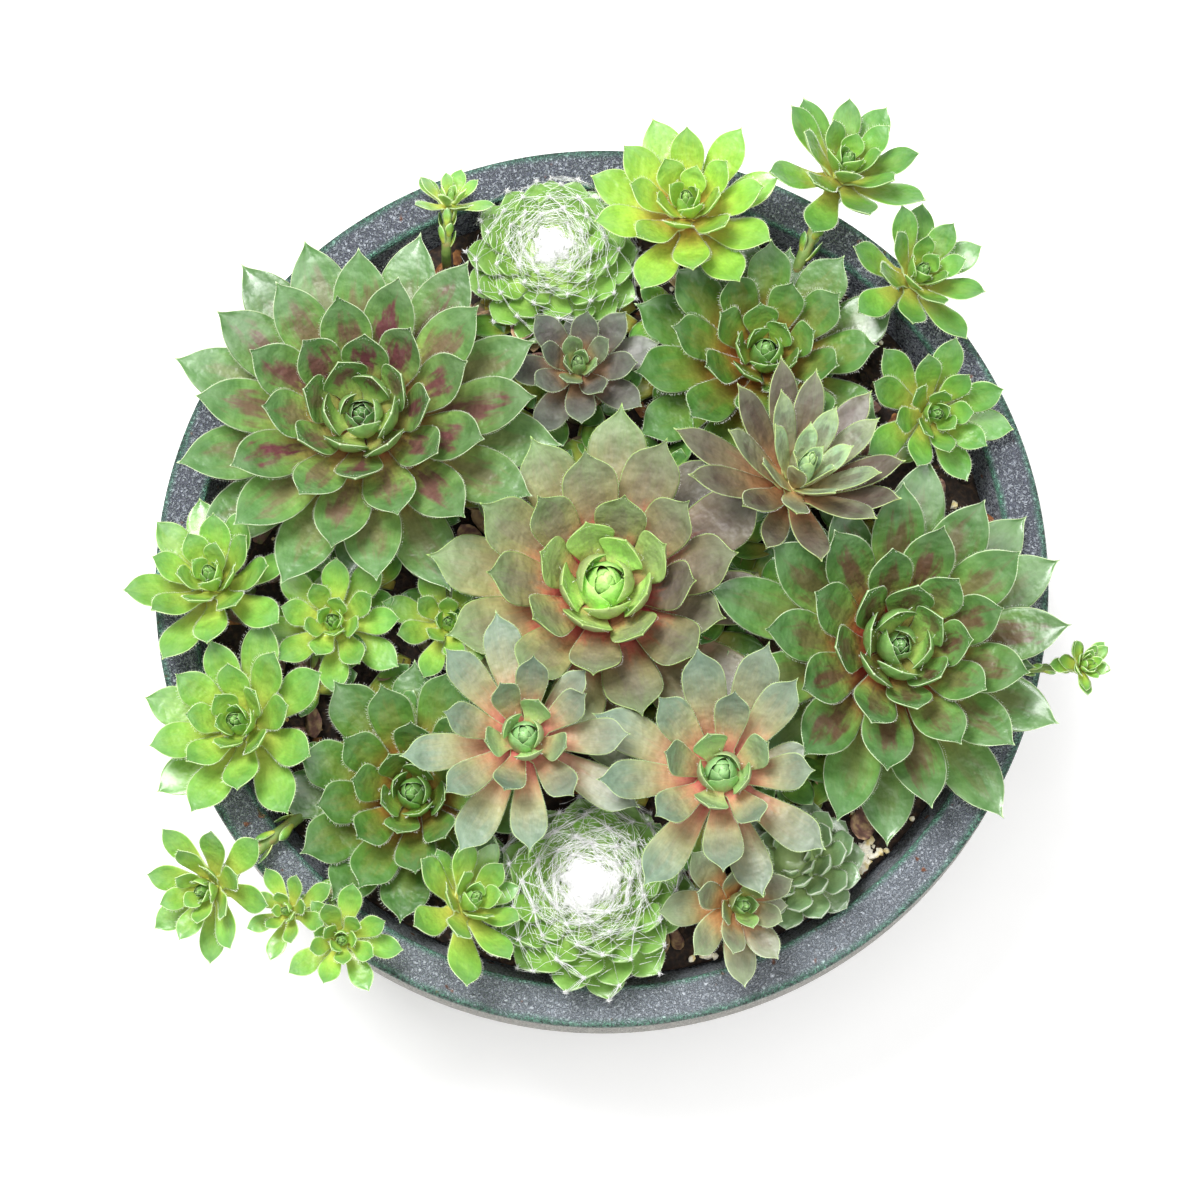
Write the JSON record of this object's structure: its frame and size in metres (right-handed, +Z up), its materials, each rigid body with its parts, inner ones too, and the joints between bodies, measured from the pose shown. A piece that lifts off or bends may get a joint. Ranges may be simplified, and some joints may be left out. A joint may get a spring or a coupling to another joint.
{
  "type": "hens and chicks planter",
  "caption": "Shallow round bowl on a narrower foot, filled with soil and planted with houseleek rosettes of several kinds, with offsets spilling over the rim.",
  "frame": {"origin": "centre of the bowl's foot, on the surface it stands on", "axes": "+Z up; seen from above with +X to the right and +Y away, the largest rosettes are at upper left and right"},
  "size_m": [0.328, 0.3166, 0.1734],
  "materials": {
    "pot": "slate-grey cast bowl with a fine leathery grain and green verdigris along the rim's edges",
    "soil": "dark bark-based potting mix with white grains",
    "lime": "waxy yellow-green leaf, paler towards the base",
    "broad": "waxy dark green leaf with a brown base",
    "blotched": "waxy green leaf with a purple-brown blotch and pale margin",
    "salmon": "waxy grey-purple leaf with a salmon base",
    "grey": "waxy grey-green leaf with a salmon base",
    "narrow": "waxy purple-brown leaf",
    "dusky": "waxy brown-purple leaf",
    "cobweb": "green leaf under white cobweb hairs",
    "scaly": "dull green scale leaf with a pale fringe"
  },
  "bodies": {
    "root": {"pot": "pot", "soil": "soil", "chick_runner": "lime", "chick_overhang": "lime", "chick_pair_overhang": "lime", "hen_scaly": "scaly", "cobweb_top": "cobweb", "cobweb_bottom": "cobweb", "chick_inner": "lime", "chick_left_inner": "lime", "hen_lower_left": "broad", "hen_upper_right": "broad", "chick_purple": "dusky", "hen_upper_left": "blotched", "hen_right": "blotched", "hen_centre": "salmon", "chick_left_upper": "lime", "chick_left_lower": "lime", "chick_right": "lime", "chick_bottom": "lime", "chick_bronze": "dusky", "chick_top_right": "lime", "chick_top": "lime", "chick_stalked": "lime", "hen_lime": "lime", "hen_purple": "narrow", "hen_lower_middle": "grey", "hen_lower_right": "grey"}
  },
  "joints": []
}
